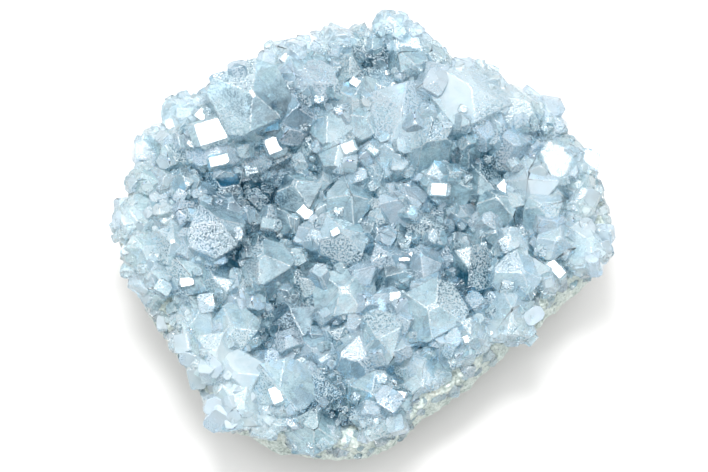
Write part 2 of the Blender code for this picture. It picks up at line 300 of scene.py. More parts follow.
@dataclass(frozen=True)
class CrystalFinish:
    """Celestite crystal, glassy and see-through, with milky veils and fine fractures.

    Attributes:
        name: the material's name.
        density: how fast light takes on the body colour inside, per metre.
        see_through: share of the light that passes.
        deep: hex colour of the clearest stretches.
        middle: hex colour between the two.
        pale: hex colour of the milky stretches.
        lilac: hex colour that some crystals lean to.
        deep_at: where the deep colour ends.
        middle_at: where the middle colour is.
        pale_at: where the pale colour begins.
        tone_share: how much crystals differ.
        facet_share: how much the faces of one crystal differ.
        milk_share: how strongly the zones of the face show.
        rise_share: how much darker and deeper blue the painted shade makes a crevice than a tip.
        roughness: of the natural crystal faces.
        body_colour: hex colour that the light takes on inside.
        veil_mm: width of a milky veil.
        crackle_mm: width of a grain on an etched or broken face.
        speckle: how strongly such a face sparkles.
        etching: height of its grains, in millimetres.
        ior: how strongly it bends light.
        lilac_share: how far a crystal may lean to lilac.
    """

    name: str = "clear_celestite"
    density: float = 9.0
    see_through: float = 0.70
    deep: str = "1f4f66"
    middle: str = "b3d1dd"
    pale: str = "e6f2f6"
    lilac: str = "cbd8f2"
    deep_at: float = 0.14
    middle_at: float = 0.56
    pale_at: float = 1.0
    tone_share: float = 0.16
    facet_share: float = 0.13
    milk_share: float = 0.46
    rise_share: float = 0.16
    roughness: float = 0.04
    body_colour: str = "1fdcff"
    veil_mm: float = 6.0
    crackle_mm: float = 0.5
    speckle: float = 0.5
    etching: float = 0.22
    ior: float = 1.62
    lilac_share: float = 0.3

    def material(self) -> bpy.types.Material:
        """Builds the material.

        Returns:
            The material, which reads the tone, facet, milk and painted crevice shade of a mesh.
        """
        # Faces as they grew are glassy: they mirror the light or let the eye into a pale blue body.
        # Milky veils inside it scatter the light. Etched faces break it up into sparkle, with
        # grains drawn as coarse as it takes to show them from this far.
        material, tree = blank_material(self.name)
        place = add_node(tree, "ShaderNodeTexCoord").outputs["Object"]
        veils = add_node(
            tree,
            "ShaderNodeTexNoise",
            Vector=place,
            Scale=1 / (self.veil_mm * MM),
            Detail=3.0,
            Roughness=0.65,
            Distortion=0.8,
        )
        fine = add_node(
            tree,
            "ShaderNodeTexNoise",
            Vector=place,
            Scale=1 / (self.crackle_mm * MM),
            Detail=1.0,
            Roughness=0.7,
        )
        tone, facet, milk, rise = (
            add_node(tree, "ShaderNodeAttribute", {"attribute_name": name}).outputs["Fac"]
            for name in (TONE, FACET, MILK, CREVICE_SHADE)
        )
        crackled = add_node(
            tree, "ShaderNodeMapRange", Value=facet, From_Min=0.1, From_Max=0.6
        ).outputs[0]
        speck = add_node(
            tree,
            "ShaderNodeMapRange",
            Value=fine.outputs["Fac"],
            From_Min=0.38,
            From_Max=0.62,
            To_Min=-self.speckle,
            To_Max=self.speckle,
        ).outputs[0]
        level = veils.outputs["Fac"]
        # Painted shade: the crevice number draws crevices deeper blue and tips paler.
        for value, share in (
            (tone, self.tone_share),
            (facet, self.facet_share),
            (milk, self.milk_share),
            (rise, self.rise_share),
            (speck, crackled),
        ):
            added = add_node(tree, "ShaderNodeMath", ADD_SHARE, i0=value, i1=share, i2=level)
            level = added.outputs[0]
        stops = (self.deep_at, self.deep), (self.middle_at, self.middle), (self.pale_at, self.pale)
        colour = add_node(tree, "ShaderNodeValToRGB", {"stops": stops}, Fac=level)
        leaning = add_node(tree, "ShaderNodeMapRange", Value=tone, To_Max=self.lilac_share)
        tinted = add_node(
            tree,
            "ShaderNodeMix",
            {"data_type": "RGBA", "blend_type": "MULTIPLY"},
            i0=leaning.outputs[0],
            i6=colour.outputs["Color"],
            i7=linear(self.lilac),
        )
        grains = add_node(tree, "ShaderNodeMath", TIMES, i0=fine.outputs["Fac"], i1=crackled)
        height = add_node(
            tree, "ShaderNodeMath", TIMES, i0=grains.outputs[0], i1=self.etching * MM
        )
        bump = add_node(
            tree, "ShaderNodeBump", Height=height.outputs[0], Strength=1.0, Distance=1.0
        )
        surface = add_node(
            tree,
            "ShaderNodeBsdfPrincipled",
            Base_Color=tinted.outputs[2],
            Roughness=self.roughness,
            IOR=self.ior,
            Transmission_Weight=self.see_through,
            Normal=bump.outputs["Normal"],
        )
        inside = add_node(
            tree,
            "ShaderNodeVolumeAbsorption",
            Color=linear(self.body_colour),
            Density=self.density,
        )
        add_node(
            tree,
            "ShaderNodeOutputMaterial",
            Surface=surface.outputs[0],
            Volume=inside.outputs[0],
        )
        return material


@dataclass(frozen=True)
class RockFinish:
    """Massive celestite and marl of the rind: pale, granular and dull, with beige stains.

    Attributes:
        name: the material's name.
        pale: hex colour of the palest specks.
        ground: hex colour of most of the rock.
        grey: hex colour of the darkest blotches.
        stain: hex colour of the stains.
        grey_at: where the grey ends.
        ground_at: where the ground colour is.
        pale_at: where the pale colour begins.
        grain_mm: width of a grain of the relief.
        blotch_mm: width of a blotch.
        speck_mm: width of a speck.
        relief_mm: height of the relief.
        blotch_share: weight of the blotches against the specks.
        stain_share: how strongly the stained zones show.
        stain_cover: the most that a stain covers.
        roughness: of the broken rock.
    """

    name: str = "massive_celestite_rind"
    pale: str = "d3ddd9"
    ground: str = "aebbb7"
    grey: str = "76857f"
    stain: str = "8f7f5c"
    grey_at: float = 0.66
    ground_at: float = 0.82
    pale_at: float = 1.0
    grain_mm: float = 1.4
    blotch_mm: float = 5.0
    speck_mm: float = 0.9
    relief_mm: float = 0.5
    blotch_share: float = 0.7
    stain_share: float = 0.35
    stain_cover: float = 0.6
    roughness: float = 0.78

    def material(self) -> bpy.types.Material:
        """Builds the material.

        Returns:
            The material, which reads the milk and the outside share of a mesh.
        """
        # Broken and weathered rock: dull and grainy, mottled in pale grey-green, with no shine.
        material, tree = blank_material(self.name)
        place = add_node(tree, "ShaderNodeTexCoord").outputs["Object"]
        grains = add_node(
            tree, "ShaderNodeTexVoronoi", Vector=place, Scale=1 / (self.grain_mm * MM)
        )
        blotches = add_node(
            tree,
            "ShaderNodeTexNoise",
            Vector=place,
            Scale=1 / (self.blotch_mm * MM),
            Detail=6.0,
            Roughness=0.7,
        )
        specks = add_node(
            tree,
            "ShaderNodeTexNoise",
            Vector=place,
            Scale=1 / (self.speck_mm * MM),
            Detail=4.0,
            Roughness=0.7,
        )
        mottled = add_node(
            tree,
            "ShaderNodeMath",
            ADD_SHARE,
            i0=blotches.outputs["Fac"],
            i1=self.blotch_share,
            i2=specks.outputs["Fac"],
        )
        stops = (self.grey_at, self.grey), (self.ground_at, self.ground), (self.pale_at, self.pale)
        ground = add_node(tree, "ShaderNodeValToRGB", {"stops": stops}, Fac=mottled.outputs[0])
        outside = add_node(tree, "ShaderNodeAttribute", {"attribute_name": OUTSIDE})
        milk = add_node(tree, "ShaderNodeAttribute", {"attribute_name": MILK})
        stained = add_node(
            tree,
            "ShaderNodeMath",
            ADD_SHARE,
            i0=milk.outputs["Fac"],
            i1=self.stain_share,
            i2=blotches.outputs["Fac"],
        )
        cover = add_node(
            tree,
            "ShaderNodeMapRange",
            Value=stained.outputs[0],
            From_Min=0.55,
            From_Max=0.80,
            To_Max=self.stain_cover,
        )
        shown = add_node(
            tree, "ShaderNodeMath", TIMES, i0=cover.outputs[0], i1=outside.outputs["Fac"]
        )
        mix = add_node(
            tree,
            "ShaderNodeMix",
            {"data_type": "RGBA"},
            i0=shown.outputs[0],
            i6=ground.outputs["Color"],
            i7=linear(self.stain),
        )
        height = add_node(
            tree,
            "ShaderNodeMath",
            ADD_SHARE,
            i0=grains.outputs["Distance"],
            i1=-0.5,
            i2=specks.outputs["Fac"],
        )
        bump = add_node(
            tree,
            "ShaderNodeBump",
            Height=height.outputs[0],
            Strength=0.8,
            Distance=self.relief_mm * MM,
        )
        surface = add_node(
            tree,
            "ShaderNodeBsdfPrincipled",
            Base_Color=mix.outputs[2],
            Roughness=self.roughness,
            Normal=bump.outputs["Normal"],
        )
        add_node(tree, "ShaderNodeOutputMaterial", Surface=surface.outputs[0])
        return material


def add_object(name: str, mesh: bpy.types.Mesh) -> bpy.types.Object:
    """Makes an object for a mesh in the scene's collection.

    Args:
        name: the object's name.
        mesh: its mesh.

    Returns:
        The object.
    """
    made = bpy.data.objects.new(name, mesh)
    bpy.context.scene.collection.objects.link(made)
    return made


def bake(shape: bmesh.types.BMesh, name: str) -> bpy.types.Mesh:
    """Turns a shape into a mesh and frees the shape.

    Args:
        shape: the shape.
        name: the mesh's name.

    Returns:
        The mesh.
    """
    mesh = bpy.data.meshes.new(name)
    shape.to_mesh(mesh)
    shape.free()
    return mesh


def merged_copy(node: str) -> bmesh.types.BMesh:
    """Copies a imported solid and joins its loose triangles.

    Args:
        node: the solid's name.

    Returns:
        The joined shape.
    """
    shape = bmesh.new()
    shape.from_mesh(frame["nodes"][node].data)
    bmesh.ops.remove_doubles(shape, verts=shape.verts, dist=WELD)
    return shape


def cut_crystal(
    rng: random.Random, width: float, breadth: float, height: float, root: float, habit: Habit
) -> bmesh.types.BMesh:
    """Cuts a block to the flat faces of one celestite crystal, standing on the origin.

    Args:
        rng: gives each face its own slope.
        width: across the crystal.
        breadth: across the other way.
        height: from the origin to the tip.
        root: how far the crystal goes on below the origin.
        habit: how it ends.

    Returns:
        The closed crystal.
    """
    shape = bmesh.new()
    bmesh.ops.create_cube(shape, size=1)
    size = Matrix.Diagonal((width, breadth, height + root, 1))
    bmesh.ops.transform(
        shape, matrix=Matrix.Translation((0, 0, (height - root) / 2)) @ size, verts=shape.verts
    )
    planes = []
    prism = math.radians(PRISM_DEG)
    for side, end in ((-1, -1), (-1, 1), (1, -1), (1, 1)):
        normal = Vector((side * math.cos(prism), end * math.sin(prism), 0))
        corner = abs(normal.x) * width / 2 + abs(normal.y) * breadth / 2
        planes.append((normal, corner * rng.uniform(*CORNER_CUTS)))
    slopes = SLOPES[habit]
    if habit is Habit.TABLE:
        planes.append((Vector((0, 0, 1)), height * TABLE_SHARE))
    for axis, (low, high), reach in (
        (Vector((1, 0, 0)), slopes[0], width),
        (Vector((0, 1, 0)), slopes[1], breadth),
    ):
        for side in (-1, 1):
            slope = math.radians(rng.uniform(low, high))
            normal = axis * side * math.sin(slope) + Vector((0, 0, math.cos(slope)))
            if habit is Habit.TABLE:
                edge = axis * side * reach / 2 * rng.uniform(*TABLE_EDGES)
                planes.append((normal, normal.dot(edge + Vector((0, 0, height * TABLE_SHARE)))))
                continue
            shift = reach * rng.uniform(*ROOF_SHIFTS) * math.sin(slope)
            planes.append((normal, height * math.cos(slope) + shift))
    for normal, distance in planes:
        geometry = shape.verts[:] + shape.edges[:] + shape.faces[:]
        cut = bmesh.ops.bisect_plane(
            shape,
            geom=geometry,
            plane_co=normal * distance,
            plane_no=normal,
            clear_outer=True,
            dist=1e-7,
        )
        edges = [e for e in cut["geom_cut"] if isinstance(e, bmesh.types.BMEdge)]
        if edges:
            bmesh.ops.contextual_create(shape, geom=edges)
    bmesh.ops.recalc_face_normals(shape, faces=shape.faces)
    facet = shape.faces.layers.float.new(FACET)
    for face in shape.faces:
        face[facet] = rng.uniform(-1, 1)
    return shape


def wear_and_highlight_edges(shape: bmesh.types.BMesh, width: float, shortest: float) -> None:
    """Breaks the long sharp edges by a hair, as on any real crystal, and paints the new edge faces
    pale: a painted highlight along each edge.

    Args:
        shape: the crystals.
        width: of the broken edge.
        shortest: shorter edges stay sharp.
    """
    edges = [
        e
        for e in shape.edges
        if e.is_manifold and e.calc_length() > shortest and e.calc_face_angle_signed(0) > RIDGE
    ]
    made = bmesh.ops.bevel(
        shape, geom=edges, offset=width, offset_type="OFFSET", segments=1, affect="EDGES"
    )
    facet = shape.faces.layers.float.get(FACET)
    for face in made["faces"]:
        # Painted highlight: the broken edge faces are made pale.
        face[facet] = EDGE_HIGHLIGHT_TONE


@dataclass
class RindRock:
    """The outer wall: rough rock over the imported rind.

    Attributes:
        cuts: how often its faces are split and rounded.
        lump_mm: height of a lump.
        lump_width_mm: width of a lump.
        fractal: how fast finer lumps get lower, how much finer they get, and how often.
        grain_mm: height of a coarse grain.
        grain_widths_mm: widths of the coarse and the fine grains.
        fine_share: height of a fine grain against a coarse one.
        rests_mm: below this height it is flat, because it rests there.
        fade_mm: its relief fades out below this height.
        crust_mm: how far from the crystals the stains reach their full strength.
        stains_from_mm: the height at which stains begin.
        stains_over_mm: the height over which they reach their full strength.
    """

    cuts: int = 3
    lump_mm: float = 1.1
    lump_width_mm: float = 7.0
    fractal: tuple[float, float, int] = (0.8, 2.2, 3)
    grain_mm: float = 0.45
    grain_widths_mm: tuple[float, float] = (1.3, 0.6)
    fine_share: float = 0.6
    rests_mm: float = 0.15
    fade_mm: float = 3.0
    crust_mm: float = 2.0
    stains_from_mm: float = 18.0
    stains_over_mm: float = 14.0

    def build(self) -> bpy.types.Object:
        """Builds the rock and hides the plain rind.

        Returns:
            The rock.
        """
        rock = add_object("rind_rock", bake(merged_copy("rind"), "rind_rock"))
        smooth = rock.modifiers.new("Round", "SUBSURF")
        smooth.levels = smooth.render_levels = self.cuts
        graph = bpy.context.evaluated_depsgraph_get()
        rock.data = bpy.data.meshes.new_from_object(rock.evaluated_get(graph))
        rock.modifiers.clear()
        self.roughen(rock.data)
        rock.data.materials.clear()
        rock.data.materials.append(RockFinish().material())
        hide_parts("rind")
        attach(rock, "root")
        return rock

    def roughen(self, mesh: bpy.types.Mesh) -> None:
        """Raises lumps and grains, and stores where the stains are.

        Args:
            mesh: the smooth rock.
        """
        places = vertex_places(mesh)
        normals = np.empty(places.size)
        mesh.vertices.foreach_get("normal", normals)
        normals = normals.reshape(-1, 3)
        coarse, fine = self.grain_widths_mm
        for index in range(len(places)):
            place = Vector(places[index]) / MM
            if place.z < self.rests_mm:
                places[index, 2] = 0
                continue
            rough = self.lump_mm * noise.fractal(place / self.lump_width_mm, *self.fractal)
            rough += self.grain_mm * noise.noise(place / coarse)
            rough += self.grain_mm * self.fine_share * noise.noise(place / fine)
            share = min(1.0, place.z / self.fade_mm)
            places[index] += normals[index] * rough * share * MM
            places[index, 2] = max(0.0, places[index, 2])
        store(mesh, OUTSIDE, wall_distance(places, self.crust_mm))
        high = np.clip((places[:, 2] / MM - self.stains_from_mm) / self.stains_over_mm, 0, 1)
        store(mesh, MILK, zone_sum(places, STAINS) * high)
        mesh.vertices.foreach_set("co", places.ravel())
        mesh.update()


@dataclass
class CrystalMass:
    """The large crystals, grown together.

    Attributes:
        convex_from: least angle of a ridge, in radians.
        flat_deg: faces that meet at less than this are one.
        worn_mm: width of a worn edge.
        worn_from_mm: shorter edges stay sharp.
        seed: fixes the tones.
    """

    convex_from: float = 1e-4
    flat_deg: float = 0.6
    worn_mm: float = 0.25
    worn_from_mm: float = 2.0
    seed: int = 5

    def build(self) -> bpy.types.Object:
        """Builds the large crystals, without those that grow on them.

        Returns:
            The crystals.
        """
        shape = merged_copy("crystal_crust")
        flat = math.radians(self.flat_deg)
        bmesh.ops.dissolve_limit(
            shape, angle_limit=flat, verts=shape.verts, edges=shape.edges, delimit={"NORMAL"}
        )
        self.mark_crystals(shape)
        wear_and_highlight_edges(shape, self.worn_mm * MM, self.worn_from_mm * MM)
        mesh = bake(shape, "crystal_druse")
        log.info("large crystals: %d faces", len(mesh.polygons))
        return add_object("crystal_druse", mesh)

    def mark_crystals(self, shape: bmesh.types.BMesh) -> None:
        """Gives each crystal and each facet its own tone.

        Faces that meet at a ridge belong to one crystal, and those that meet in a valley don't.

        Args:
            shape: the joined crust.
        """
        rng = random.Random(self.seed)
        tone = shape.faces.layers.float.new(TONE)
        facet = shape.faces.layers.float.new(FACET)
        done = set()
        for start in shape.faces:
            if start in done:
                continue
            own, waiting = rng.uniform(-1, 1), [start]
            done.add(start)
            while waiting:
                face = waiting.pop()
                face[tone] = own
                face[facet] = rng.uniform(-1, 1)
                for edge in face.edges:
                    if not edge.is_manifold or edge.calc_face_angle_signed(0) < -self.convex_from:
                        continue
                    for other in edge.link_faces:
                        if other not in done:
                            done.add(other)
                            waiting.append(other)


def growth_tree() -> bpy.types.NodeTree:
    """Builds the Geometry Nodes tree that grows small crystals over a surface.

    Returns:
        The tree, with named inputs.
    """
    tree = bpy.data.node_groups.new("Grow crystals", "GeometryNodeTree")
    sockets = tree.interface
    sockets.new_socket("Geometry", in_out="INPUT", socket_type="NodeSocketGeometry")
    sockets.new_socket("Forms", in_out="INPUT", socket_type="NodeSocketCollection")
    for name in ("Spacing", "Smallest", "Largest", "Lean", "Upright", "Sink"):
        sockets.new_socket(name, in_out="INPUT", socket_type="NodeSocketFloat")
    sockets.new_socket("Seed", in_out="INPUT", socket_type="NodeSocketInt")
    sockets.new_socket("Finish", in_out="INPUT", socket_type="NodeSocketMaterial")
    sockets.new_socket("Geometry", in_out="OUTPUT", socket_type="NodeSocketGeometry")
    given = add_node(tree, "NodeGroupInput").outputs
    where = add_node(tree, "GeometryNodeInputNamedAttribute", {"data_type": "FLOAT"}, Name=WHERE)
    area = add_node(
        tree, "ShaderNodeMath", {"operation": "POWER"}, i0=given["Spacing"], i1=-2.0
    )
    points = add_node(
        tree,
        "GeometryNodeDistributePointsOnFaces",
        {"distribute_method": "POISSON"},
        Mesh=given["Geometry"],
        Distance_Min=given["Spacing"],
        Density_Max=area.outputs[0],
        Density_Factor=where.outputs["Attribute"],
        Seed=given["Seed"],
    )
    back = add_node(tree, "ShaderNodeMath", TIMES, i0=given["Lean"], i1=-1.0)
    low = add_node(
        tree, "ShaderNodeCombineXYZ", X=back.outputs[0], Y=back.outputs[0], Z=-math.pi
    )
    high = add_node(tree, "ShaderNodeCombineXYZ", X=given["Lean"], Y=given["Lean"], Z=math.pi)
    turn = add_node(
        tree,
        "FunctionNodeRandomValue",
        {"data_type": "FLOAT_VECTOR"},
        Seed=given["Seed"],
    )
    tree.links.new(low.outputs[0], turn.inputs[0])
    tree.links.new(high.outputs[0], turn.inputs[1])
    euler = add_node(tree, "FunctionNodeEulerToRotation", Euler=turn.outputs[0])
    lift = add_node(tree, "ShaderNodeCombineXYZ", Z=given["Upright"])
    upright = add_node(
        tree,
        "ShaderNodeVectorMath",
        {"operation": "ADD"},
        i0=points.outputs["Normal"],
        i1=lift.outputs[0],
    )
    aligned = add_node(
        tree, "FunctionNodeAlignRotationToVector", {"axis": "Z"}, Vector=upright.outputs[0]
    )
    stand = add_node(
        tree,
        "FunctionNodeRotateRotation",
        {"rotation_space": "LOCAL"},
        Rotation=aligned.outputs[0],
        Rotate_By=euler.outputs[0],
    )
    chance = add_node(
        tree, "FunctionNodeRandomValue", {"data_type": "FLOAT"}, Seed=given["Seed"]
    )
    bias = add_node(
        tree, "ShaderNodeMath", {"operation": "POWER"}, i0=chance.outputs[1], i1=2.0
    )
    size = add_node(
        tree,
        "ShaderNodeMapRange",
        Value=bias.outputs[0],
        To_Min=given["Smallest"],
        To_Max=given["Largest"],
    )
    depth = add_node(tree, "ShaderNodeMath", TIMES, i0=size.outputs[0], i1=given["Sink"])
    inward = add_node(tree, "ShaderNodeMath", TIMES, i0=depth.outputs[0], i1=-1.0)
    offset = add_node(
        tree,
        "ShaderNodeVectorMath",
        {"operation": "SCALE"},
        i0=points.outputs["Normal"],
        Scale=inward.outputs[0],
    )
    sunk = add_node(
        tree, "GeometryNodeSetPosition", Geometry=points.outputs["Points"], Offset=offset.outputs[0]
    )
    forms = add_node(
        tree,
        "GeometryNodeCollectionInfo",
        Collection=given["Forms"],
        Separate_Children=True,
        Reset_Children=True,
    )
    grown = add_node(
        tree,
        "GeometryNodeInstanceOnPoints",
        Points=sunk.outputs[0],
        Instance=forms.outputs[0],
        Pick_Instance=True,
        Rotation=stand.outputs[0],
        Scale=size.outputs[0],
    )
    tone = add_node(
        tree, "FunctionNodeRandomValue", {"data_type": "FLOAT"}, i2=-1.0, i3=1.0, Seed=given["Seed"]
    )
    toned = add_node(
        tree,
        "GeometryNodeStoreNamedAttribute",
        {"data_type": "FLOAT", "domain": "INSTANCE"},
        Geometry=grown.outputs[0],
        Name=OWN,
        Value=tone.outputs[1],
    )
    numbered = add_node(
        tree,
        "GeometryNodeStoreNamedAttribute",
        {"data_type": "INT", "domain": "INSTANCE"},
        Geometry=toned.outputs[0],
        Name=NUMBER,
        Value=add_node(tree, "GeometryNodeInputIndex").outputs[0],
    )
    real = add_node(tree, "GeometryNodeRealizeInstances", Geometry=numbered.outputs[0])
    own = add_node(tree, "GeometryNodeInputNamedAttribute", {"data_type": "FLOAT"}, Name=OWN)
    faced = add_node(
        tree,
        "GeometryNodeStoreNamedAttribute",
        {"data_type": "FLOAT", "domain": "FACE"},
        Geometry=real.outputs[0],
        Name=TONE,
        Value=own.outputs["Attribute"],
    )
    dressed = add_node(
        tree, "GeometryNodeSetMaterial", Geometry=faced.outputs[0], Material=given["Finish"]
    )
    add_node(tree, "NodeGroupOutput", Geometry=dressed.outputs[0])
    return tree


@dataclass(frozen=True)
class CrystalForms:
    """The crystal shapes that Geometry Nodes repeat, in shares of a crystal's size.

    Attributes:
        habits: how they end.
        width: across them.
        breadths: across the other way, as shares of the width.
        height: from where they stand to the tip.
        root: from there down.
        worn: width of a worn edge.
        worn_from: shorter edges stay sharp.
        seed: fixes the shapes.
    """

    habits: tuple[Habit, ...] = (
        Habit.ROOF,
        Habit.ROOF,
        Habit.BLOCK,
        Habit.POINT,
        Habit.ROOF,
        Habit.BLOCK,
    )
    width: float = 0.9
    breadths: tuple[float, float] = (0.6, 0.95)
    height: float = 0.55
    root: float = 0.45
    worn: float = 0.025
    worn_from: float = 0.1
    seed: int = 3

    def build(self) -> bpy.types.Collection:
        """Makes the shapes.

        Returns:
            The collection that holds them.
        """
        forms = bpy.data.collections.new("crystal_forms")
        bpy.context.scene.collection.children.link(forms)
        rng = random.Random(self.seed)
        for number, habit in enumerate(self.habits):
            breadth = self.width * rng.uniform(*self.breadths)
            shape = cut_crystal(rng, self.width, breadth, self.height, self.root, habit)
            wear_and_highlight_edges(shape, self.worn, self.worn_from)
            name = f"form_{number}"
            forms.objects.link(bpy.data.objects.new(name, bake(shape, name)))
        return forms


def shorten_edges(shape: bmesh.types.BMesh, longest: float, rounds: int = 4) -> None:
    """Splits long edges, which leaves the faces flat.

    Args:
        shape: has the edges.
        longest: longer edges are split.
        rounds: how often they are split at most.
    """
    for _ in range(rounds):
        long = [e for e in shape.edges if e.calc_length() > longest]
        if not long:
            break
        bmesh.ops.subdivide_edges(shape, edges=long, cuts=1)
        bmesh.ops.triangulate(shape, faces=shape.faces)


@dataclass
class Host:
    """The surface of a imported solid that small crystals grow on, with the places where they may.

    Attributes:
        node: the solid.
        longest_mm: longer edges are split.
        reach_mm: how near the geode has to be to shelter a point.
        rays: how many ways are tried for that.
        lift_mm: how far off the surface they start.
        closed_from: nothing grows where it is more sheltered than this.
        seed: fixes the ways.
    """

    node: str
    longest_mm: float = 3.0
    reach_mm: float = 7.0
    rays: int = 20
    lift_mm: float = 0.1
    closed_from: float = 0.92
    seed: int = 9

    def build(self) -> "Host":
        """Copies the solid and measures it.

        Returns:
            Itself, with its mesh, places, shelter and nearness to the rim.
        """
        shape = merged_copy(self.node)
        shorten_edges(shape, self.longest_mm * MM)
        self.shelter = self.measure_shelter(shape)
        self.mesh = bake(shape, f"{self.node}_host")
        self.places = vertex_places(self.mesh)
        self.rim = rim_share(self.places)
        self.thing = add_object(self.mesh.name, self.mesh)
        return self

    def measure_shelter(self, shape: bmesh.types.BMesh) -> np.ndarray:
        """Measures how much of each point's view the geode itself blocks.

        Args:
            shape: has the points.

        Returns:
            Shares from 0, free, to 1, enclosed.
        """
        walls = [BVHTree.FromBMesh(merged_copy(name)) for name in SOLIDS]
        rng = random.Random(self.seed)
        ways = [Vector([rng.gauss(0, 1) for _ in range(3)]).normalized() for _ in range(self.rays)]
        shelter = []
        for vertex in shape.verts:
            start = vertex.co + vertex.normal * self.lift_mm * MM
            hits = 0
            for way in ways:
                ray = way if way.dot(vertex.normal) > 0 else -way
                if any(wall.ray_cast(start, ray, self.reach_mm * MM)[0] for wall in walls):
                    hits += 1
            shelter.append(hits / self.rays)
        return np.array(shelter)

    def allow(self, where: np.ndarray) -> None:
        """Lets crystals grow, with where saying how many, from 0 to 1, at each vertex."""
        store(self.mesh, WHERE, np.clip(where, 0, 1) * (self.shelter < self.closed_from))
        self.mesh.update()


def wall_distance(places: np.ndarray, reach_mm: float) -> list[float]:
    """Measures how far each place is from the crust.

    Args:
        places: one place in metres per row.
        reach_mm: how far is far.

    Returns:
        Shares from 0 at the crust to 1 at the reach and beyond.
    """
    crust = BVHTree.FromBMesh(merged_copy("crystal_crust"))
    reach = reach_mm * MM
    return [min(1.0, crust.find_nearest(Vector(place))[3] / reach) for place in places]


def rim_share(places: np.ndarray) -> np.ndarray:
    """Measures how near each place is to the geode's outline seen from above.

    Args:
        places: one place in metres per row.

    Returns:
        Shares from 0 at the middle to 1 at the outline.
    """
    spans = 48
    widest = np.zeros(spans)
    for solid in map(merged_copy, SOLIDS):
        for vertex in solid.verts:
            span = int((math.atan2(vertex.co.y, vertex.co.x) / math.tau % 1) * spans)
            widest[span] = max(widest[span], vertex.co.xy.length)
    turn = np.arctan2(places[:, 1], places[:, 0]) / math.tau % 1 * spans
    middles = np.arange(-1, spans + 1) + 0.5
    looped = np.concatenate(([widest[-1]], widest, [widest[0]]))
    return np.hypot(places[:, 0], places[:, 1]) / np.interp(turn, middles, looped)


@dataclass(frozen=True)
class Growth:
    """Small crystals grown over a surface.

    Attributes:
        name: the piece's name.
        spacing_mm: the least distance between two crystals.
        size_mm: the smallest and the largest crystal.
        lean_deg: how far a crystal may lean.
        upright: how much it turns from the surface's normal to straight up.
        sink: how deep it stands, as a share of its size.
        seed: fixes the layout.
    """

    name: str
    spacing_mm: float
    size_mm: tuple[float, float]
    lean_deg: float
    upright: float
    sink: float
    seed: int

    def build(
        self,
        tree: bpy.types.NodeTree,
        ground: Host,
        forms: bpy.types.Collection,
        material: bpy.types.Material,
    ) -> bpy.types.Object:
        """Grows the crystals and bakes them to one mesh.

        Args:
            tree: the Geometry Nodes tree that grows them.
            ground: the surface they grow on.
            forms: their shapes.
            material: their finish.

        Returns:
            The crystals in one piece.
        """
        host = ground.thing
        modifier = host.modifiers.new("Grow", "NODES")
        modifier.node_group = tree
        values = {
            "Forms": forms,
            "Spacing": self.spacing_mm * MM,
            "Smallest": self.size_mm[0] * MM,
            "Largest": self.size_mm[1] * MM,
            "Lean": math.radians(self.lean_deg),
            "Upright": self.upright,
            "Sink": self.sink,
            "Seed": self.seed,
            "Finish": material,
        }
        for item in tree.interface.items_tree:
            if item.in_out == "INPUT" and item.name in values:
                modifier[item.identifier] = values[item.name]
        host.update_tag()
        bpy.context.view_layer.update()
        graph = bpy.context.evaluated_depsgraph_get()
        mesh = bpy.data.meshes.new_from_object(host.evaluated_get(graph))
        host.modifiers.clear()
        mesh.name = self.name
        log.info("%s: %d faces", self.name, len(mesh.polygons))
        return add_object(self.name, mesh)


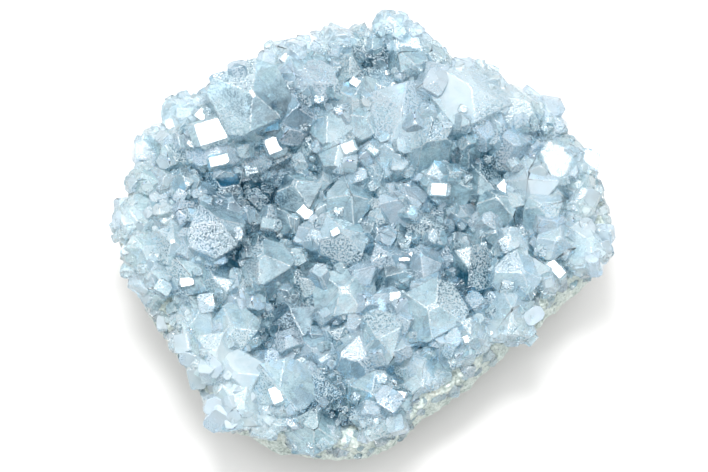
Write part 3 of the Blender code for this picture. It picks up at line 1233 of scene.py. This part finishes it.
@dataclass
class Union:
    """Joins the grown crystals and the large ones in one solid with no walls inside.

    Light would be lost at each inner wall, so a druse of separate crystals looks grey.

    Attributes:
        mass: the large crystals.
        material: the finish of the whole.
        rim_milk: how much milkier the rim is.
        rim_from: where the rim begins, as a share of the way out.
        cell_mm: width of the surroundings that a tip is measured against.
        relief_mm: height from a crevice to a tip.
    """

    mass: bpy.types.Object
    material: bpy.types.Material
    rim_milk: float = 0.35
    rim_from: float = 0.86
    cell_mm: float = 3.0
    relief_mm: float = 9.0

    def rise(self, places: np.ndarray) -> np.ndarray:
        """Measures how far each place stands out of its surroundings, for the painted shade that
        darkens crevices and makes tips paler.

        Args:
            places: one place in metres per row.

        Returns:
            Shares from 0 in a crevice to 1 at a tip.
        """
        cells = np.floor(places[:, :2] / (self.cell_mm * MM)).astype(int)
        cells -= cells.min(axis=0) - 2
        shape = cells.max(axis=0) + 3
        count, total = np.zeros(shape), np.zeros(shape)
        np.add.at(count, (cells[:, 0], cells[:, 1]), 1)
        np.add.at(total, (cells[:, 0], cells[:, 1]), places[:, 2])
        for axis in (0, 1):
            for grid in (count, total):
                grid += np.roll(grid, 1, axis) + np.roll(grid, -1, axis)
        level = (total / np.maximum(count, 1))[cells[:, 0], cells[:, 1]]
        return np.clip(0.5 + (places[:, 2] - level) / (self.relief_mm * MM), 0, 1)

    def build(self, grown: list[bpy.types.Object]) -> bpy.types.Object:
        """Joins everything in the mass.

        Args:
            grown: pieces whose crystals are numbered.

        Returns:
            The joined solid.
        """
        layers = [layer for piece in grown for layer in self.split(piece)]
        for layer in layers:
            modifier = self.mass.modifiers.new(layer.name, "BOOLEAN")
            modifier.operation = "UNION"
            modifier.solver = "MANIFOLD"
            modifier.object = layer
        graph = bpy.context.evaluated_depsgraph_get()
        self.mass.data = bpy.data.meshes.new_from_object(self.mass.evaluated_get(graph))
        self.mass.modifiers.clear()
        for thing in layers + grown:
            bpy.data.objects.remove(thing)
        mesh = self.mass.data
        mesh.materials.clear()
        mesh.materials.append(self.material)
        mesh.polygons.foreach_set("material_index", np.zeros(len(mesh.polygons), dtype=np.int32))
        places = vertex_places(mesh)
        rim = (rim_share(places) - self.rim_from) / SOFT_BORDER
        milky_rim = self.rim_milk * np.clip(rim, 0, 1)
        store(mesh, MILK, zone_sum(places, ZONES) + milky_rim)
        # Painted shade: crevices get a deeper blue, tips a paler one.
        store(mesh, CREVICE_SHADE, self.rise(places))
        return self.mass

    def split(self, piece: bpy.types.Object) -> list[bpy.types.Object]:
        """Sorts a piece's crystals into layers in which none touches another.

        Args:
            piece: its crystals are numbered and may overlap.

        Returns:
            One object for each layer.
        """
        mesh = piece.data
        numbers = np.empty(len(mesh.vertices), dtype=np.int32)
        mesh.attributes[NUMBER].data.foreach_get("value", numbers)
        places = vertex_places(mesh)
        names = np.unique(numbers)
        order = np.argsort(numbers, kind="stable")
        blocks = np.split(places[order], np.searchsorted(numbers[order], names[1:]))
        middles = [block.mean(axis=0) for block in blocks]
        radii = [np.linalg.norm(block - m, axis=1).max() for block, m in zip(blocks, middles)]
        tree = KDTree(len(names))
        for index, middle in enumerate(middles):
            tree.insert(middle, index)
        tree.balance()
        chosen = np.full(len(names), -1)
        widest = max(radii)
        for index, middle in enumerate(middles):
            near = tree.find_range(middle, radii[index] + widest)
            taken = {chosen[k] for _, k, far in near if far < radii[index] + radii[k]}
            chosen[index] = next(n for n in range(len(names)) if n not in taken)
        layer_of = chosen[np.searchsorted(names, numbers)]
        made = []
        for number in range(chosen.max() + 1):
            shape = bmesh.new()
            shape.from_mesh(mesh)
            shape.verts.ensure_lookup_table()
            out = [shape.verts[k] for k in np.nonzero(layer_of != number)[0]]
            bmesh.ops.delete(shape, geom=out, context="VERTS")
            part = bake(shape, f"{piece.name}_{number}")
            made.append(add_object(part.name, part))
        log.info("%s: %d crystals in %d layers", piece.name, len(names), len(made))
        return made


@dataclass(frozen=True)
class Glint:
    """A crystal whose flat end mirrors the lamp.

    Attributes:
        x: middle, in millimetres.
        y: middle, in millimetres.
        width: in millimetres.
        breadth: in millimetres.
        turn: about its own axis, in degrees.
    """

    x: float
    y: float
    width: float
    breadth: float
    turn: float


GLINTS = (
    Glint(-45, 28, 13, 9, 8),
    Glint(-26, 26.5, 7, 8, 20),
    Glint(-43, 20, 7, 4, 5),
    Glint(-4, 23, 5, 4.5, 30),
    Glint(3, 22, 3, 4.5, 60),
    Glint(23, 12, 7, 5, 15),
    Glint(43, 12.5, 4, 7, 70),
    Glint(57.5, -13, 7.5, 3.5, -10),
    Glint(-48, 34.5, 4, 4, 40),
    Glint(-25.5, -53, 4, 6.5, 15),
    Glint(-17, 5, 4, 5, 50),
    Glint(10, -23, 4, 4, 25),
    Glint(11.5, -52, 3.5, 3.5, 10),
    Glint(-33, 19, 5, 2.5, 12),
    Glint(-8, -3, 3.5, 2.5, 35),
    Glint(30, 33, 3, 2.5, 0),
    Glint(-2, 44, 3, 3.5, 65),
    Glint(-52, -18, 3, 5, 80),
    Glint(31, -36, 3, 3, 45),
)


@dataclass
class MirrorCrystals:
    """Crystals with flat ends turned so that they mirror the lamp, as some do in any geode.

    Attributes:
        depth_mm: height of such a crystal.
        stand_out_mm: how far it stands out.
        above_mm: a height above the whole geode.
        worn_mm: width of a worn edge.
        worn_from_mm: shorter edges stay sharp.
        seed: fixes the shapes.
    """

    depth_mm: float = 7.0
    stand_out_mm: float = 1.0
    above_mm: float = 100.0
    worn_mm: float = 0.12
    worn_from_mm: float = 1.0
    seed: int = 8

    def build(self, grounds: list[bpy.types.Object], studio: "Studio") -> bpy.types.Object:
        """Sets the crystals on what has grown so far.

        Args:
            grounds: the pieces they stand in.
            studio: has the camera's and the lamp's places.

        Returns:
            The crystals in one piece.
        """
        graph = bpy.context.evaluated_depsgraph_get()
        trees = [BVHTree.FromObject(ground, graph) for ground in grounds]
        rng = random.Random(self.seed)
        whole = bmesh.new()
        for layer in (TONE, FACET):
            whole.faces.layers.float.new(layer)
        numbers = whole.verts.layers.int.new(NUMBER)
        for number, glint in enumerate(GLINTS):
            above = Vector((glint.x, glint.y, self.above_mm)) * MM
            hits = [tree.ray_cast(above, Vector((0, 0, -1)))[0] for tree in trees]
            tops = [hit.z for hit in hits if hit]
            if not tops:
                continue
            middle = Vector((above.x, above.y, max(tops) + self.stand_out_mm * MM))
            axis = studio.mirror_axis(middle)
            height = self.depth_mm * MM / 2
            shape = cut_crystal(
                rng, glint.width * MM, glint.breadth * MM, height, height, Habit.TABLE
            )
            wear_and_highlight_edges(shape, self.worn_mm * MM, self.worn_from_mm * MM)
            turn = Matrix.Rotation(math.radians(glint.turn), 4, "Z")
            stand = axis.to_track_quat("Z", "Y").to_matrix().to_4x4()
            down = Matrix.Translation((0, 0, -height * TABLE_SHARE))
            place = Matrix.Translation(middle) @ stand @ down @ turn
            bmesh.ops.transform(shape, matrix=place, verts=shape.verts)
            count = len(shape.verts)
            part = bake(shape, "glint")
            whole.from_mesh(part)
            bpy.data.meshes.remove(part)
            whole.verts.ensure_lookup_table()
            for vertex in whole.verts[-count:]:
                vertex[numbers] = number
        return add_object("mirror_crystals", bake(whole, "mirror_crystals"))


def etch_mirrors(mesh: bpy.types.Mesh, studio: "Studio") -> None:
    """Etches the larger faces that happen to mirror the lamp, so that only chosen crystals shine.

    Args:
        mesh: crystals with a facet value on each face.
        studio: has the camera's and the lamp's places.
    """
    facets = mesh.attributes[FACET].data
    for face in mesh.polygons:
        if face.area < ETCHED_FROM_MM2 * MM * MM:
            continue
        mirror = studio.mirror_axis(face.center)
        if face.normal.angle(mirror, math.pi) < math.radians(ETCHED_DEG):
            facets[face.index].value = ETCHED


@dataclass
class Druse:
    """The crystal lining: large crystals, and smaller ones between and around them.

    Attributes:
        medium: the crystals that fill the crevices.
        small: those in the narrow crevices.
        rim: those on the broken rim.
        grains: those on the top of the outer wall.
        crevice_from: how sheltered the crevices are.
        narrow_from: how sheltered the narrow ones are.
        rim_from: where the rim begins, as a share of the way out.
        wall_edge_mm: longest edge of the wall that the grains grow on.
        wall_reach_mm: how far from the crust they grow.
        wall_above_mm: how low they grow.
        wall_density: how fast they grow denser towards the crust.
    """

    medium: Growth = Growth("medium_crystals", 4.4, (4.5, 9.5), 35, 0.8, 0.15, 21)
    small: Growth = Growth("small_crystals", 2.5, (2.6, 5.0), 45, 0.5, 0.2, 22)
    rim: Growth = Growth("rim_crystals", 2.9, (3.6, 7.4), 35, 0.3, 0.36, 23)
    grains: Growth = Growth("wall_grains", 2.6, (3.2, 6.6), 45, 0.2, 0.33, 24)
    crevice_from: float = 0.15
    narrow_from: float = 0.38
    rim_from: float = 0.84
    wall_edge_mm: float = 2.5
    wall_reach_mm: float = 11.0
    wall_above_mm: float = 13.0
    wall_density: float = 3.0

    def build(self, studio: "Studio") -> bpy.types.Object:
        """Builds the lining and hides the plain crust.

        Args:
            studio: has the camera's and the lamp's places.

        Returns:
            The lining, one closed solid.
        """
        mass = CrystalMass().build()
        crust, wall = Host("crystal_crust").build(), Host("rind", self.wall_edge_mm).build()
        forms, tree = CrystalForms().build(), growth_tree()
        material = CrystalFinish().material()
        crust.allow((crust.shelter - self.crevice_from) / SOFT_BORDER)
        medium = self.medium.build(tree, crust, forms, material)
        crust.allow((crust.shelter - self.narrow_from) / SOFT_BORDER)
        small = self.small.build(tree, crust, forms, material)
        crust.allow((crust.rim - self.rim_from) / SOFT_BORDER)
        rim = self.rim.build(tree, crust, forms, material)
        near = np.array([1 - far for far in wall_distance(wall.places, self.wall_reach_mm)])
        high = wall.places[:, 2] > self.wall_above_mm * MM
        wall.allow(self.wall_density * near * high)
        grains = self.grains.build(tree, wall, forms, material)
        mirrors = MirrorCrystals().build([mass, medium], studio)
        for piece in (mass, medium, small, rim, grains):
            etch_mirrors(piece.data, studio)
        druse = Union(mass, material).build([medium, small, rim, grains, mirrors])
        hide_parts("crystal_crust")
        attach(druse, "root")
        for form in list(forms.objects):
            bpy.data.objects.remove(form)
        for host in (crust, wall):
            bpy.data.objects.remove(host.thing)
        return druse


@dataclass
class Studio:
    """A white floor, a soft overhead light and the camera.

    Attributes:
        px_mm: what one pixel of the picture covers.
        width_px: the picture's width.
        sensor_mm: the camera's sensor width.
        elevation: how high the camera stands, in degrees.
        distance: from the target to the camera, in metres.
        target: what the camera looks at.
        lamp_place: where the softbox hangs.
        lamp_size: its width and depth, in metres.
        lamp_aim: what it faces.
        lamp_power: in watts.
        floor_size: in metres.
        floor_grey: how much light the paper gives back.
        sky_colour: hex colour of the light from all around.
        sky_from: the height, as a share, at which that light starts to get stronger.
        sky_low: its strength at the horizon.
        sky_high: its strength overhead.
    """

    px_mm: float = 0.3012
    width_px: int = 708
    sensor_mm: float = 36.0
    elevation: float = 68.0
    distance: float = 1.2
    target: tuple[float, float, float] = (-0.0024, 0.0024, 0.030)
    lamp_place: tuple[float, float, float] = (-0.03, 0.08, 0.70)
    lamp_size: tuple[float, float] = (0.24, 0.20)
    lamp_aim: tuple[float, float, float] = (0.0, 0.0, 0.03)
    lamp_power: float = 4.2
    floor_size: float = 6.0
    floor_grey: float = 0.60
    sky_colour: str = "fdfcfb"
    sky_from: float = 0.1
    sky_low: float = 0.15
    sky_high: float = 2.9

    def camera_place(self) -> Vector:
        """Works out the camera's place.

        Returns:
            The place.
        """
        angle = math.radians(self.elevation)
        back = Vector((0, -math.cos(angle), math.sin(angle)))
        return Vector(self.target) + back * self.distance

    def mirror_axis(self, place: Vector) -> Vector:
        """Works out which way a face looks that mirrors the lamp to the camera.

        Args:
            place: where the face is.

        Returns:
            The face's normal.
        """
        to_camera = (self.camera_place() - place).normalized()
        to_lamp = (Vector(self.lamp_place) - place).normalized()
        return (to_camera + to_lamp).normalized()

    def build(self) -> None:
        """Builds the floor, the lights and the camera."""
        self.lay_floor()
        self.light_sky()
        self.hang_lamp()
        self.set_camera()

    def lay_floor(self) -> None:
        """Lays the floor."""
        bpy.ops.mesh.primitive_plane_add(size=self.floor_size)
        floor = bpy.context.object
        floor.name = "floor"
        # Matt paper: a plain bright ground that takes a soft shadow and mirrors nothing.
        material, tree = blank_material("white_paper_floor")
        grey = (self.floor_grey, self.floor_grey, self.floor_grey, 1)
        surface = add_node(tree, "ShaderNodeBsdfPrincipled", Base_Color=grey, Roughness=0.9)
        add_node(tree, "ShaderNodeOutputMaterial", Surface=surface.outputs[0])
        floor.data.materials.append(material)

    def light_sky(self) -> None:
        """Lights the scene from all around, most from overhead."""
        world = bpy.data.worlds.new("studio")
        bpy.context.scene.world = world
        world.use_nodes = True
        tree = world.node_tree
        way = add_node(tree, "ShaderNodeTexCoord").outputs["Generated"]
        up = add_node(tree, "ShaderNodeSeparateXYZ", Vector=way)
        glow = add_node(
            tree,
            "ShaderNodeMapRange",
            Value=up.outputs["Z"],
            From_Min=self.sky_from,
            From_Max=1.0,
            To_Min=self.sky_low,
            To_Max=self.sky_high,
        )
        tree.links.new(glow.outputs[0], tree.nodes["Background"].inputs["Strength"])
        tree.nodes["Background"].inputs["Color"].default_value = linear(self.sky_colour)

    def hang_lamp(self) -> None:
        """Hangs the soft light, facing the geode."""
        light = bpy.data.lights.new("softbox", "AREA")
        light.shape = "RECTANGLE"
        light.size, light.size_y = self.lamp_size
        light.energy = self.lamp_power
        hung = bpy.data.objects.new("softbox", light)
        bpy.context.scene.collection.objects.link(hung)
        hung.location = self.lamp_place
        way = Vector(self.lamp_aim) - hung.location
        hung.rotation_euler = way.to_track_quat("-Z", "Y").to_euler()

    def set_camera(self) -> None:
        """Sets up the camera."""
        scene = bpy.context.scene
        camera = bpy.data.cameras.new("camera")
        seen = bpy.data.objects.new("camera", camera)
        scene.collection.objects.link(seen)
        camera.sensor_width = self.sensor_mm
        camera.lens = self.sensor_mm * self.distance / (self.width_px * self.px_mm * MM)
        seen.location = self.camera_place()
        way = Vector(self.target) - seen.location
        seen.rotation_euler = way.to_track_quat("-Z", "Y").to_euler()
        scene.camera = seen
        scene.view_settings.view_transform = "Standard"


def main() -> None:
    """Builds the geode's pieces and the studio."""
    studio = Studio()
    rock = RindRock().build()
    log.info("%s: %d faces", rock.name, len(rock.data.polygons))
    druse = Druse().build(studio)
    log.info("%s: %d faces", druse.name, len(druse.data.polygons))
    studio.build()


if __name__ == "__main__":
    logging.basicConfig(level=logging.INFO)
    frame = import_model()
    main()
